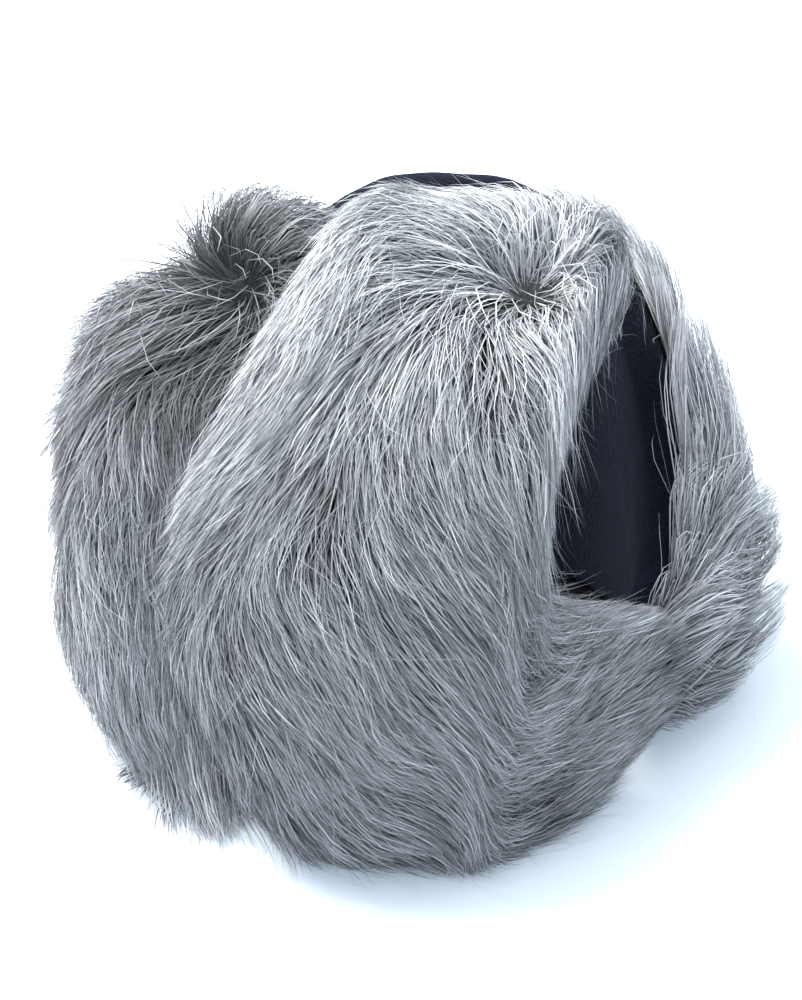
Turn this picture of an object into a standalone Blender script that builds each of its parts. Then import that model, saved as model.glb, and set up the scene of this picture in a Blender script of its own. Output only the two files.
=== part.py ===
"""Fur earmuffs that wrap round the back of the head, standing curled up as they lie at rest.

A band in three lobes: a cup for each ear and a back band between them, joined at two low necks.
Each lobe is a padded fleece lining with a thick shell of fur over its back, edge and underside.
The shell is a backing with tapered locks fused to it, combed along the nap.
Z is up, the face opening is towards -Y, and X is the wearer's left.
"""

import math
import random

import bmesh
import bpy
import numpy as np
from mathutils import Matrix, Vector

# Driving sizes, in metres
HEAD_RADIUS = 0.052
CUP_HEIGHT = 0.104
BAND_HEIGHT = 0.090
FOOT_HEIGHT = 0.009
PAD_THICKNESS = 0.009
PAD_CROWN = 0.002
CUP_PILE = 0.016
BAND_PILE = 0.012
EDGE_PILE = 0.003
UNDER_PILE = 0.009
GAP = 0.0007
SEAM_GAP = 0.0005

# Locks of fur, in metres
LOCK_LENGTH = 0.034
LOCK_WIDTH = 0.015
LOCK_THICKNESS = 0.008
LOCK_LIFT = 0.004
LOCK_BEND = 0.65
LOCK_SINK = 0.3
LOWEST_WAY = 0.12
LOCK_ROWS = 4
ROOT_WAYS = (0.14, 0.92)
ROOT_TURNS = (0.05, 0.95)
SEAM_TURN = 0.03
LOOSE_TURN = 0.25
SHORTEST_SHARE = 0.45
LOCK_SHARES = (0.0, 0.4, 0.75, 1.0)
LOCK_WIDTHS = (0.7, 1.0, 0.65, 0.12)
LOCK_THICKNESSES = (0.8, 1.0, 0.6, 0.15)

# Where each lobe starts and ends round the ring, in degrees from +X towards +Y
LEFT_NECK = -6.0
LEFT_END = -106.0
RIGHT_NECK = 186.0
RIGHT_END = 284.0

FUR_COLOUR = (0.42, 0.44, 0.46, 1.0)
FLEECE_COLOUR = (0.010, 0.012, 0.022, 1.0)
FUR_SEED = 11

# One row for each section, from the lobe's neck to its far end.
# turn: share of the lobe's way round. radius: share of HEAD_RADIUS. foot: share of FOOT_HEIGHT.
# height: share of the lobe's height. flare: tilt of the foot, degrees outwards.
# lean: tilt of the top, degrees inwards. sway: how far the top shifts to the neck, share of height.
# pile: share of the lobe's pile.
COLUMNS = ("turn", "radius", "foot", "height", "flare", "lean", "sway", "pile")

LEFT_CUP = (
    (0.00, 0.86, 1.8, 0.20, 4, 8, 0.00, 0.35),
    (0.12, 0.80, 1.6, 0.22, 6, 10, 0.00, 0.55),
    (0.24, 0.74, 1.3, 0.27, 12, 20, 0.06, 0.75),
    (0.35, 0.69, 1.0, 0.50, 24, 42, 0.24, 0.95),
    (0.43, 0.66, 0.9, 0.90, 28, 72, 0.34, 1.00),
    (0.52, 0.67, 0.9, 1.06, 28, 86, 0.22, 1.00),
    (0.64, 0.70, 0.9, 1.08, 28, 87, 0.08, 1.00),
    (0.78, 0.80, 1.4, 0.96, 20, 73, 0.02, 1.00),
    (0.92, 0.95, 3.0, 0.58, 6, 46, 0.02, 0.80),
    (1.00, 1.00, 4.2, 0.32, 0, 30, 0.00, 0.55),
)

RIGHT_CUP = (
    (0.00, 0.92, 1.8, 0.24, 2, 8, 0.00, 0.35),
    (0.13, 0.86, 1.3, 0.38, 8, 14, 0.06, 0.70),
    (0.28, 0.76, 1.0, 0.76, 26, 40, 0.16, 1.05),
    (0.46, 0.70, 0.9, 0.91, 32, 54, 0.18, 1.05),
    (0.62, 0.74, 0.8, 0.87, 18, 64, 0.16, 0.90),
    (0.74, 0.70, 0.8, 0.79, -10, 66, 0.14, 0.60),
    (0.86, 0.52, 1.0, 0.68, -4, 46, 0.12, 0.32),
    (1.00, 0.38, 2.4, 0.40, 0, 20, 0.08, 0.25),
)

BACK_BAND = (
    (0.00, 0.86, 1.8, 0.20, 4, 4, 0.00, 0.35),
    (0.12, 0.88, 1.7, 0.31, 6, 4, 0.00, 0.90),
    (0.26, 0.90, 1.2, 0.58, 8, 8, 0.00, 1.25),
    (0.42, 0.95, 0.9, 0.88, 10, 10, 0.00, 1.15),
    (0.60, 1.00, 0.9, 1.00, 12, 12, 0.00, 1.00),
    (0.80, 1.00, 0.9, 0.86, 10, 10, 0.00, 1.00),
    (0.92, 0.96, 1.3, 0.46, 6, 6, 0.00, 0.80),
    (1.00, 0.92, 1.8, 0.26, 2, 4, 0.00, 0.35),
)

# How far the sections of a cup keep turning with the ring, and the parts of a section's outline
CONVERGE = 0.35
FACE_STEPS = 5
EDGE_ROUND = math.sqrt(0.5)
SHELL_STEPS = 9
WAY_STEP = 0.05
UNDER_WAY = 0.15
TOP_FALL_WAY = 0.30

# The nap of each lobe: where its whorl sits (shares of turn and height), how strongly the hair
# leaves it, and the steady comb along the lobe and up it
NAP = {
    "cup": {"whorl": (0.30, 0.97), "away": 1.0, "along": 0.10, "up": -0.75, "sweep": 0.9},
    "band": {"whorl": (-0.60, 0.50), "away": 1.0, "along": 0.5, "up": 0.0, "sweep": 0.0},
}


def clear_scene():
    for item in list(bpy.context.scene.objects):
        bpy.data.objects.remove(item, do_unlink=True)


def make_material(name, colour, roughness, sheen):
    material = bpy.data.materials.new(name)
    material.use_nodes = True
    shader = material.node_tree.nodes["Principled BSDF"]
    shader.inputs["Base Color"].default_value = colour
    shader.inputs["Roughness"].default_value = roughness
    shader.inputs["Metallic"].default_value = 0.0
    shader.inputs["Sheen Weight"].default_value = sheen
    return material


def read_table(table, turn):
    """One section, from the smooth curve through a table's rows."""
    rows = np.array(table, float)
    turns = rows[:, 0]
    slopes = np.gradient(rows, turns, axis=0)
    i = int(np.clip(np.searchsorted(turns, turn) - 1, 0, len(turns) - 2))
    width = turns[i + 1] - turns[i]
    t = (turn - turns[i]) / width
    start = (2 * t**3 - 3 * t**2 + 1) * rows[i] + (t**3 - 2 * t**2 + t) * width * slopes[i]
    finish = (3 * t**2 - 2 * t**3) * rows[i + 1] + (t**3 - t**2) * width * slopes[i + 1]
    return dict(zip(COLUMNS, start + finish))


class Lobe:
    """A lobe's surfaces: points from the turn round it, the height up its face and the depth out."""

    def __init__(self, name, table, neck, end, height, pile, top_pile, top_way, nap, converge, steep):
        self.name = name
        self.table = table
        self.neck = math.radians(neck)
        self.end = math.radians(end)
        self.full_height = height
        self.full_pile = pile
        self.top_pile = top_pile
        self.top_way = top_way
        self.nap = nap
        self.converge = converge
        self.steep = steep

    def section(self, turn):
        row = read_table(self.table, turn)
        angle = self.neck + (self.end - self.neck) * turn
        middle = (self.neck + self.end) / 2
        share = self.converge + (1.0 - self.converge) * (1.0 - turn) ** 3
        facing = middle + (angle - middle) * share
        side = math.copysign(1.0, self.neck - self.end)
        row["angle"] = angle
        row["inwards"] = Vector((-math.cos(facing), -math.sin(facing), 0.0))
        row["to_neck"] = Vector((-math.sin(angle), math.cos(angle), 0.0)) * side
        row["tall"] = row["height"] * self.full_height
        return row

    def point(self, row, up, out):
        """The point at the length up along the lining's face, and the depth out behind it."""
        flare = -math.radians(row["flare"])
        bend = (math.radians(row["lean"]) - flare) / row["tall"]
        tilt = flare + bend * up
        inwards = (math.cos(flare) - math.cos(tilt)) / bend
        rise = (math.sin(tilt) - math.sin(flare)) / bend
        inwards -= out * math.cos(tilt)
        rise += out * math.sin(tilt)
        radius = row["radius"] * HEAD_RADIUS
        foot = Vector((math.cos(row["angle"]), math.sin(row["angle"]), 0.0)) * radius
        foot.z = row["foot"] * FOOT_HEIGHT
        shift = row["sway"] * row["tall"] * max(up / row["tall"], 0.0) ** 2
        return foot + row["inwards"] * inwards + row["to_neck"] * shift + Vector((0, 0, rise))

    def pile(self, row, way):
        """The fur's depth on the way from under the pad (0) round its back to its top edge (1)."""
        rise = min(way / UNDER_WAY, 1.0)
        fall = min(max(self.top_way - way, 0.0) / TOP_FALL_WAY, 1.0)
        full = row["pile"] * self.full_pile
        top = EDGE_PILE + (full - EDGE_PILE) * self.top_pile
        below = min(UNDER_PILE, full)
        under = below + (full - below) * rise
        return min(under, top + (full - top) * math.sin(fall * math.pi / 2))

    def outside(self, row, way, depth):
        """A point on the way round the pad's back, the depth clear of the pad."""
        half = PAD_THICKNESS / 2
        quarter = math.pi * half / 2
        straight = row["tall"] - 2 * half
        length = way * (straight + 2 * quarter)
        reach = half + depth
        if length < quarter:
            turned = length / half
            return self.point(row, half - reach * math.cos(turned), half + reach * math.sin(turned))
        if length <= quarter + straight:
            return self.point(row, half + length - quarter, half + reach)
        turned = (length - quarter - straight) / half
        top = row["tall"] - half
        return self.point(row, top + reach * math.sin(turned), half + reach * math.cos(turned))

    def fur(self, turn, way):
        """A point on the fur's skin."""
        row = self.section(turn)
        return self.outside(row, way, GAP + self.pile(row, way))

    def back_ways(self):
        """The steps round the pad's back that its lining and its shell share."""
        return [self.top_way * i / (SHELL_STEPS - 1) for i in range(SHELL_STEPS)]

    def lining_loop(self, turn):
        """The closed outline of the pad: its crowned face, its rolled edges and its back."""
        row = self.section(turn)
        half = PAD_THICKNESS / 2
        face = row["tall"] - 2 * half
        loop = []
        for i in range(FACE_STEPS + 1):
            share = i / FACE_STEPS
            crown = PAD_CROWN * math.sin(math.pi * share)
            loop.append(self.point(row, half + face * share, -crown))
        loop.append(self.point(row, half + face + half * EDGE_ROUND, half - half * EDGE_ROUND))
        ways = self.back_ways()
        if self.top_way < 1.0:
            ways.append(1.0)
        loop += [self.outside(row, way, 0.0) for way in reversed(ways)]
        loop.append(self.point(row, half - half * EDGE_ROUND, half - half * EDGE_ROUND))
        return loop

    def clear_of_pad(self, turn, way, step):
        """A point off the pad's back by the gap, half square to the slope of a steep lobe."""
        row = self.section(turn)
        if not self.steep or not step < turn < 1.0 - step / 2:
            return self.outside(row, way, GAP)
        here = self.outside(row, way, 0.0)
        before = self.outside(self.section(turn - step), way, 0.0)
        after = self.outside(self.section(min(turn + step, 1.0)), way, 0.0)
        under = self.outside(row, max(way - WAY_STEP, 0.0), 0.0)
        over = self.outside(row, min(way + WAY_STEP, 1.0), 0.0)
        square = (after - before).cross(over - under).normalized()
        outwards = (self.outside(row, way, GAP) - here).normalized()
        square *= math.copysign(1.0, square.dot(outwards))
        return here + (square + outwards).normalized() * GAP

    def shell_loop(self, turn, step):
        """The closed outline of the fur's shell: its skin, and the pad's back with a small gap."""
        row = self.section(turn)
        ways = self.back_ways()
        skin = [self.outside(row, way, GAP + self.pile(row, way)) for way in ways]
        seat = [self.clear_of_pad(turn, way, step) for way in ways]
        return seat[::-1] + skin

    def combed(self, turn, way):
        """The skin's axes at a point, and the nap's direction in them: along, up and out."""
        step = 0.01
        here = self.fur(turn, way)
        along = self.fur(turn + step, way) - self.fur(turn - step, way)
        up = self.fur(turn, min(way + step, 1.0)) - self.fur(turn, max(way - step, 0.0))
        along.normalize()
        up.normalize()
        out = up.cross(along) if self.end < self.neck else along.cross(up)
        out.normalize()
        whorl_turn, whorl_way = self.nap["whorl"]
        span = abs(self.end - self.neck) * HEAD_RADIUS
        tall = self.full_height
        from_whorl = Vector(((turn - whorl_turn) * span, (way - whorl_way) * tall))
        from_whorl.normalize()
        side = from_whorl.x * self.nap["away"] + self.nap["along"]
        side -= self.nap["sweep"] * (1.0 - way) ** 2
        lift = from_whorl.y * self.nap["away"] + self.nap["up"]
        nap = along * side + up * lift
        nap -= out * nap.dot(out)
        return here, nap.normalized(), out

    def spine(self, turn, way, length, lift):
        """A lock's middle line: it leaves its root along the nap, bends with the skin and rises.

        It stops short of a seam, and gives nothing where that leaves it too short.
        """
        root, nap, out = self.combed(turn, way)
        step = 0.01
        ahead = (self.fur(turn + step, way) - root).dot(nap)
        above = (self.fur(turn, min(way + step, 1.0)) - root).dot(nap)
        grow = step / max(ahead**2 + above**2, 1e-10)
        last = 1.0 - SEAM_TURN if self.name == "band" else 1.0 + LOOSE_TURN
        room = (last - turn if ahead > 0 else turn - SEAM_TURN) / max(abs(ahead * grow), 1e-6)
        run = min(length, room)
        if run < length * SHORTEST_SHARE:
            return None, nap, out
        points = []
        for share in LOCK_SHARES:
            end_turn = min(turn + ahead * grow * run * share, 1.0)
            end_way = min(max(way + above * grow * run * share, LOWEST_WAY), self.top_way)
            bent = self.fur(end_turn, end_way)
            straight = root + nap * run * share
            points.append(straight.lerp(bent, LOCK_BEND) + out * lift * share**2)
        return points, nap, out


def add_loft(loops, mesh, folded=False):
    """Adds a closed body through the loops to a bmesh.

    A folded loop runs along one side of a strip and back along the other, so its flat caps are
    made of short faces from side to side.
    """
    rings = [[mesh.verts.new(point) for point in loop] for loop in loops]
    count = len(rings[0])
    for ring, after in zip(rings, rings[1:]):
        for i in range(count):
            j = (i + 1) % count
            mesh.faces.new((ring[i], ring[j], after[j]))
            mesh.faces.new((ring[i], after[j], after[i]))
    for ring in (rings[0][::-1], rings[-1]):
        if not folded:
            mesh.faces.new(ring)
            continue
        for i in range(count // 2 - 1):
            mesh.faces.new((ring[i], ring[i + 1], ring[count - 2 - i], ring[count - 1 - i]))


def finish_mesh(mesh, name, material):
    bmesh.ops.triangulate(mesh, faces=mesh.faces[:])
    bmesh.ops.recalc_face_normals(mesh, faces=mesh.faces[:])
    data = bpy.data.meshes.new(name)
    mesh.to_mesh(data)
    mesh.free()
    data.materials.append(material)
    data.shade_smooth()
    item = bpy.data.objects.new(name, data)
    bpy.context.scene.collection.objects.link(item)
    return item


def make_lining(lobe, sections, material):
    mesh = bmesh.new()
    loops = [lobe.lining_loop(turn) for turn in seams(lobe, sections)]
    add_loft(loops, mesh)
    return finish_mesh(mesh, lobe.name + "_lining", material)


def seams(lobe, sections):
    """The turns of a lobe's sections, drawn back at a neck by half the gap that a seam keeps."""
    arc = abs(lobe.end - lobe.neck) * HEAD_RADIUS
    inset = SEAM_GAP / 2 / arc
    last = 1.0 - inset if lobe.name == "band" else 1.0
    return [inset + (last - inset) * i / (sections - 1) for i in range(sections)]


def lock_loops(points, nap, out, width, thickness):
    """The outlines of one tapered lock along its middle line, its root sunk into the shell."""
    side = nap.cross(out).normalized()
    loops = []
    for centre, wide, thick in zip(points, LOCK_WIDTHS, LOCK_THICKNESSES):
        sunk = centre - out * thickness * thick * LOCK_SINK
        across = side * width * wide / 2
        deep = out * thickness * thick / 2
        loops.append([sunk - across, sunk - deep, sunk + across, sunk + deep])
    return loops


def keep_skin(mesh):
    """Deletes the small closed pockets that a union can leave under a lock."""
    mesh.faces.ensure_lookup_table()
    unseen = set(mesh.faces)
    groups = []
    while unseen:
        group = set()
        front = [unseen.pop()]
        while front:
            face = front.pop()
            group.add(face)
            for edge in face.edges:
                for other in edge.link_faces:
                    if other in unseen:
                        unseen.remove(other)
                        front.append(other)
        groups.append(group)
    groups.sort(key=len)
    for group in groups[:-1]:
        bmesh.ops.delete(mesh, geom=list(group), context="FACES")


def between(limits, share):
    return limits[0] + (limits[1] - limits[0]) * share


def make_fur(lobe, sections, columns, material, floor):
    """The shell of a lobe, with its locks joined in and its underside flat where it rests."""
    shell_mesh = bmesh.new()
    step = 1.0 / (sections - 1)
    loops = [lobe.shell_loop(turn, step) for turn in seams(lobe, sections)]
    add_loft(loops, shell_mesh, folded=True)
    shell = finish_mesh(shell_mesh, lobe.name + "_fur", material)
    rng = random.Random(FUR_SEED + len(lobe.name))
    for row in range(LOCK_ROWS):
        for column in range(columns):
            way = lobe.top_way * between(ROOT_WAYS, (row + rng.uniform(0.3, 0.7)) / LOCK_ROWS)
            share = (column + (row % 2) / 2 + rng.uniform(0.1, 0.4)) / columns
            turn = between(ROOT_TURNS, share)
            size = rng.uniform(0.85, 1.15) * min(1.0, lobe.section(turn)["pile"])
            lift = LOCK_LIFT * rng.uniform(0.3, 1.3)
            points, nap, out = lobe.spine(turn, way, LOCK_LENGTH * size, lift)
            if points is None:
                continue
            seat = lobe.pile(lobe.section(turn), way)
            thickness = min(LOCK_THICKNESS * size, seat)
            loops = lock_loops(points, nap, out, LOCK_WIDTH * size, thickness)
            lock_mesh = bmesh.new()
            add_loft(loops, lock_mesh)
            lock = finish_mesh(lock_mesh, f"{lobe.name}_lock", material)
            cut(shell, lock, "UNION")
            bpy.data.objects.remove(lock, do_unlink=True)
    cut(shell, floor, "DIFFERENCE")
    tidy = bmesh.new()
    tidy.from_mesh(shell.data)
    keep_skin(tidy)
    tidy.to_mesh(shell.data)
    tidy.free()
    return shell


def hide_tool(item):
    item.hide_render = True
    item.display_type = "WIRE"


def cut(item, tool, operation):
    """Applies a Boolean. The manifold solver keeps up with so many crossing locks."""
    modifier = item.modifiers.new(operation.lower(), "BOOLEAN")
    modifier.operation = operation
    modifier.object = tool
    modifier.solver = "MANIFOLD"
    graph = bpy.context.evaluated_depsgraph_get()
    data = bpy.data.meshes.new_from_object(item.evaluated_get(graph))
    item.modifiers.clear()
    item.data = data


def make_block(name, low, high):
    """A box used only to trim."""
    mesh = bmesh.new()
    bmesh.ops.create_cube(mesh, size=1.0)
    for vert in mesh.verts:
        for axis in range(3):
            vert.co[axis] = low[axis] + (vert.co[axis] + 0.5) * (high[axis] - low[axis])
    data = bpy.data.meshes.new(name)
    mesh.to_mesh(data)
    mesh.free()
    item = bpy.data.objects.new(name, data)
    bpy.context.scene.collection.objects.link(item)
    hide_tool(item)
    return item


def stand_on_origin(items):
    """Moves the solids so that the middle of their box's underside is the origin."""
    corners = np.array([item.matrix_world @ vert.co for item in items for vert in item.data.vertices])
    low = corners.min(axis=0)
    high = corners.max(axis=0)
    shift = Vector(((low[0] + high[0]) / -2, (low[1] + high[1]) / -2, -low[2]))
    for item in items:
        item.data.transform(Matrix.Translation(shift))


def main():
    clear_scene()
    fur = make_material("grey_fur", FUR_COLOUR, 0.75, 0.3)
    fleece = make_material("black_fleece", FLEECE_COLOUR, 0.95, 0.4)
    cup = {"height": CUP_HEIGHT, "pile": CUP_PILE, "top_pile": 0.8, "top_way": 1.0}
    cup.update(nap=NAP["cup"], converge=CONVERGE)
    left = Lobe("left_cup", LEFT_CUP, LEFT_NECK, LEFT_END, steep=True, **cup)
    right = Lobe("right_cup", RIGHT_CUP, RIGHT_NECK, RIGHT_END, steep=False, **cup)
    back = {"height": BAND_HEIGHT, "pile": BAND_PILE, "top_pile": 0.0, "top_way": 0.92}
    back.update(nap=NAP["band"], converge=1.0)
    band = Lobe("band", BACK_BAND, LEFT_NECK, RIGHT_NECK, steep=True, **back)
    reach = HEAD_RADIUS * 4
    floor = make_block("floor_trim", (-reach, -reach, -reach), (reach, reach, 0.0))
    solids = []
    for lobe, sections, columns in ((left, 19, 8), (right, 13, 9), (band, 21, 12)):
        solids.append(make_lining(lobe, sections, fleece))
        solids.append(make_fur(lobe, sections, columns, fur, floor))
    stand_on_origin(solids)


main()
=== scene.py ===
"""The looks of the fur earmuffs: combed long-pile fur over padded black fleece, on a white studio floor.

The lobes' surfaces are worked out from the same sizes as the solids. Hair is grown from them in
locks: each hair is a tapered ribbon that follows the nap and is drawn towards its lock's tip.
"""

import math

import bpy
import numpy as np
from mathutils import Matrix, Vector

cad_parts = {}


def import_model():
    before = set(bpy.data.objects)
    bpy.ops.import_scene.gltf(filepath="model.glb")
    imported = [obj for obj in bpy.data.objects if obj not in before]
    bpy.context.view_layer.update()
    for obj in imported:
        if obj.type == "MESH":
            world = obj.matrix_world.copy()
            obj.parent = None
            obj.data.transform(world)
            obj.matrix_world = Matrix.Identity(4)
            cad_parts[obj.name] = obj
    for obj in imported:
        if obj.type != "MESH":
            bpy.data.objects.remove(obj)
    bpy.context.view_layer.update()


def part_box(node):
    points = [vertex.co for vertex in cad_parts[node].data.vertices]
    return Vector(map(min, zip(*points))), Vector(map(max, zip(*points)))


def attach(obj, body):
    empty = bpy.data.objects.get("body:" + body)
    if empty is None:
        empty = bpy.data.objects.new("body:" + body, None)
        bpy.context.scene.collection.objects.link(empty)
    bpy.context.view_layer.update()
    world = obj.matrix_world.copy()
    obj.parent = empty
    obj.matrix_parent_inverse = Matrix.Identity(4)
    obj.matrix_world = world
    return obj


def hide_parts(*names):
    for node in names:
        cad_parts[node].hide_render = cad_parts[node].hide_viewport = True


# Sizes of the solids, in metres and degrees; a way is a share of the height, from the foot up
HEAD_RADIUS = 0.052
CUP_HEIGHT = 0.104
BAND_HEIGHT = 0.090
FOOT_HEIGHT = 0.009
PAD_THICKNESS = 0.009
PAD_CROWN = 0.002
CUP_PILE = 0.016
BAND_PILE = 0.012
EDGE_PILE = 0.003
UNDER_PILE = 0.009
GAP = 0.0007
LEFT_NECK = -6.0
LEFT_END = -106.0
RIGHT_NECK = 186.0
RIGHT_END = 284.0
CONVERGE = 0.35
UNDER_WAY = 0.15
TOP_FALL_WAY = 0.30
CUP_TOP_PILE = 0.8
BAND_TOP_WAY = 0.92

# The pads' outline, in steps, their rounded far ends and the soft waves of their cloth
FACE_STEPS = 23
TOP_STEPS = 13
BACK_STEPS = 15
FOOT_STEPS = 9
PAD_SECTIONS = 141
MOVE_SECTIONS = 21
PAD_ROUND_FROM = 0.965
LEAST_ROUND = 0.02
WAVES = 14
WAVES_PER_METRE = (60, 420)
WAVE_HEIGHT = 0.00007

# One row for each section, from the lobe's neck to its far end, as shares of the sizes above
COLUMNS = ("turn", "radius", "foot", "height", "flare", "lean", "sway", "pile")

LEFT_CUP = (
    (0.00, 0.86, 1.8, 0.20, 4, 8, 0.00, 0.35),
    (0.12, 0.80, 1.6, 0.22, 6, 10, 0.00, 0.55),
    (0.24, 0.74, 1.3, 0.27, 12, 20, 0.06, 0.75),
    (0.35, 0.69, 1.0, 0.50, 24, 42, 0.24, 0.95),
    (0.43, 0.66, 0.9, 0.90, 28, 72, 0.34, 1.00),
    (0.52, 0.67, 0.9, 1.06, 28, 86, 0.22, 1.00),
    (0.64, 0.70, 0.9, 1.08, 28, 87, 0.08, 1.00),
    (0.78, 0.80, 1.4, 0.96, 20, 73, 0.02, 1.00),
    (0.92, 0.95, 3.0, 0.58, 6, 46, 0.02, 0.80),
    (1.00, 1.00, 4.2, 0.32, 0, 30, 0.00, 0.55),
)

RIGHT_CUP = (
    (0.00, 0.92, 1.8, 0.24, 2, 8, 0.00, 0.35),
    (0.13, 0.86, 1.3, 0.38, 8, 14, 0.06, 0.70),
    (0.28, 0.76, 1.0, 0.76, 26, 40, 0.16, 1.05),
    (0.46, 0.70, 0.9, 0.91, 32, 54, 0.18, 1.05),
    (0.62, 0.74, 0.8, 0.87, 18, 64, 0.16, 0.90),
    (0.74, 0.70, 0.8, 0.79, -10, 66, 0.14, 0.60),
    (0.86, 0.52, 1.0, 0.68, -4, 46, 0.12, 0.32),
    (1.00, 0.38, 2.4, 0.40, 0, 20, 0.08, 0.25),
)

BACK_BAND = (
    (0.00, 0.86, 1.8, 0.20, 4, 4, 0.00, 0.35),
    (0.12, 0.88, 1.7, 0.31, 6, 4, 0.00, 0.90),
    (0.26, 0.90, 1.2, 0.58, 8, 8, 0.00, 1.25),
    (0.42, 0.95, 0.9, 0.88, 10, 10, 0.00, 1.15),
    (0.60, 1.00, 0.9, 1.00, 12, 12, 0.00, 1.00),
    (0.80, 1.00, 0.9, 0.86, 10, 10, 0.00, 1.00),
    (0.92, 0.96, 1.3, 0.46, 6, 6, 0.00, 0.80),
    (1.00, 0.92, 1.8, 0.26, 2, 4, 0.00, 0.35),
)

# The nap, row by row: a place on the skin, as shares of its turn and of its height, and which way
# the hair lies there, along the lobe towards its far end and up it
LEFT_NAP = (
    (0.52, 0.80, 0.80, 0.60),
    (0.50, 0.79, 0.20, 0.98),
    (0.48, 0.79, -0.50, 0.86),
    (0.48, 0.87, 0.40, 0.90),
    (0.54, 0.75, 0.98, -0.10),
    (0.66, 0.79, 1.00, -0.15),
    (0.64, 0.84, 1.00, 0.06),
    (0.71, 0.78, 0.93, -0.36),
    (0.59, 0.82, 0.90, 0.42),
    (0.54, 0.78, 0.90, 0.44),
    (0.50, 0.74, 0.00, -1.00),
    (0.47, 0.76, -0.97, -0.20),
    (0.60, 0.71, 0.76, -0.65),
    (0.74, 0.68, 0.92, -0.38),
    (0.82, 0.66, 1.00, 0.02),
    (0.88, 0.64, 1.00, -0.03),
    (0.64, 0.62, 0.46, -0.89),
    (0.54, 0.63, 0.33, -0.94),
    (0.46, 0.68, -0.97, -0.25),
    (0.43, 0.77, -0.70, 0.70),
    (0.44, 0.62, -0.88, 0.48),
    (0.37, 0.88, -0.90, 0.40),
    (0.42, 0.96, -0.80, 0.55),
    (0.30, 0.93, -0.94, 0.30),
    (0.15, 0.92, -1.00, -0.10),
    (0.52, 0.56, -0.32, -0.95),
    (0.65, 0.55, -0.20, -0.97),
    (0.81, 0.54, 0.89, -0.46),
    (0.93, 0.60, 1.00, -0.04),
    (0.73, 0.46, -0.49, -0.87),
    (0.58, 0.47, -0.52, -0.86),
    (0.46, 0.48, -0.99, -0.11),
    (0.86, 0.43, -0.17, -0.99),
    (0.94, 0.47, 0.76, -0.65),
    (0.77, 0.37, -0.74, -0.67),
    (0.62, 0.38, -0.62, -0.78),
    (0.51, 0.39, -0.89, -0.46),
    (0.36, 0.53, -0.50, 0.87),
    (0.22, 0.75, -0.75, 0.55),
    (0.83, 0.30, -0.74, -0.67),
    (0.69, 0.29, -0.83, -0.56),
    (0.54, 0.28, -0.96, -0.29),
    (0.39, 0.38, -0.45, 0.89),
    (0.23, 0.61, -0.55, 0.80),
    (0.31, 0.38, -0.72, 0.70),
    (0.49, 0.23, -0.95, -0.32),
    (0.18, 0.43, -1.00, 0.05),
    (0.05, 0.50, -1.00, 0.00),
    (0.60, 0.04, -1.00, -0.10),
    (0.62, 0.98, 1.00, 0.00),
    (0.80, 0.98, 1.00, 0.00),
)

RIGHT_NAP = (
    (0.52, 0.84, 0.30, 0.95),
    (0.46, 0.81, -0.10, 0.99),
    (0.56, 0.87, 0.60, 0.80),
    (0.60, 0.88, 0.91, 0.40),
    (0.46, 0.75, -0.64, -0.77),
    (0.48, 0.68, -0.21, -0.98),
    (0.48, 0.60, 0.10, -1.00),
    (0.48, 0.53, -0.23, -0.97),
    (0.55, 0.71, -0.04, -1.00),
    (0.61, 0.72, 0.04, -1.00),
    (0.62, 0.79, 0.96, -0.29),
    (0.58, 0.60, 0.44, -0.90),
    (0.64, 0.61, 0.43, -0.90),
    (0.59, 0.49, 0.45, -0.89),
    (0.65, 0.50, -0.10, -0.99),
    (0.52, 0.41, 0.44, -0.90),
    (0.63, 0.38, 0.24, -0.97),
    (0.68, 0.37, -0.15, -0.99),
    (0.59, 0.33, 0.14, -0.99),
    (0.68, 0.27, 0.06, -1.00),
    (0.73, 0.18, 0.05, -1.00),
    (0.65, 0.11, -0.50, -0.86),
    (0.80, 0.10, 0.60, -0.80),
    (0.25, 0.50, -0.60, -0.70),
    (0.05, 0.50, -1.00, 0.10),
    (0.35, 0.95, -0.90, 0.30),
    (0.92, 0.50, 0.90, -0.40),
)

BAND_NAP = (
    (0.00, 0.50, 1.00, 0.00),
    (0.03, 0.88, 1.00, -0.10),
    (0.07, 0.81, 0.97, -0.22),
    (0.06, 0.56, 0.97, -0.10),
    (0.13, 0.74, 0.87, -0.50),
    (0.14, 0.98, 0.97, 0.20),
    (0.18, 0.86, 0.80, -0.50),
    (0.26, 0.74, 0.65, -0.76),
    (0.24, 0.97, 0.80, 0.60),
    (0.31, 0.92, 0.50, 0.85),
    (0.33, 0.76, 0.75, 0.30),
    (0.30, 0.30, 0.90, -0.40),
    (0.38, 0.90, 0.40, 0.92),
    (0.42, 0.60, 0.80, -0.50),
    (0.44, 0.95, 0.90, 0.00),
    (0.50, 0.95, 0.95, -0.30),
    (0.60, 0.50, 0.70, -0.70),
    (0.60, 0.95, 0.50, -0.86),
    (0.95, 0.50, 1.00, -0.20),
    (0.30, 0.05, 0.95, -0.20),
)

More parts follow.
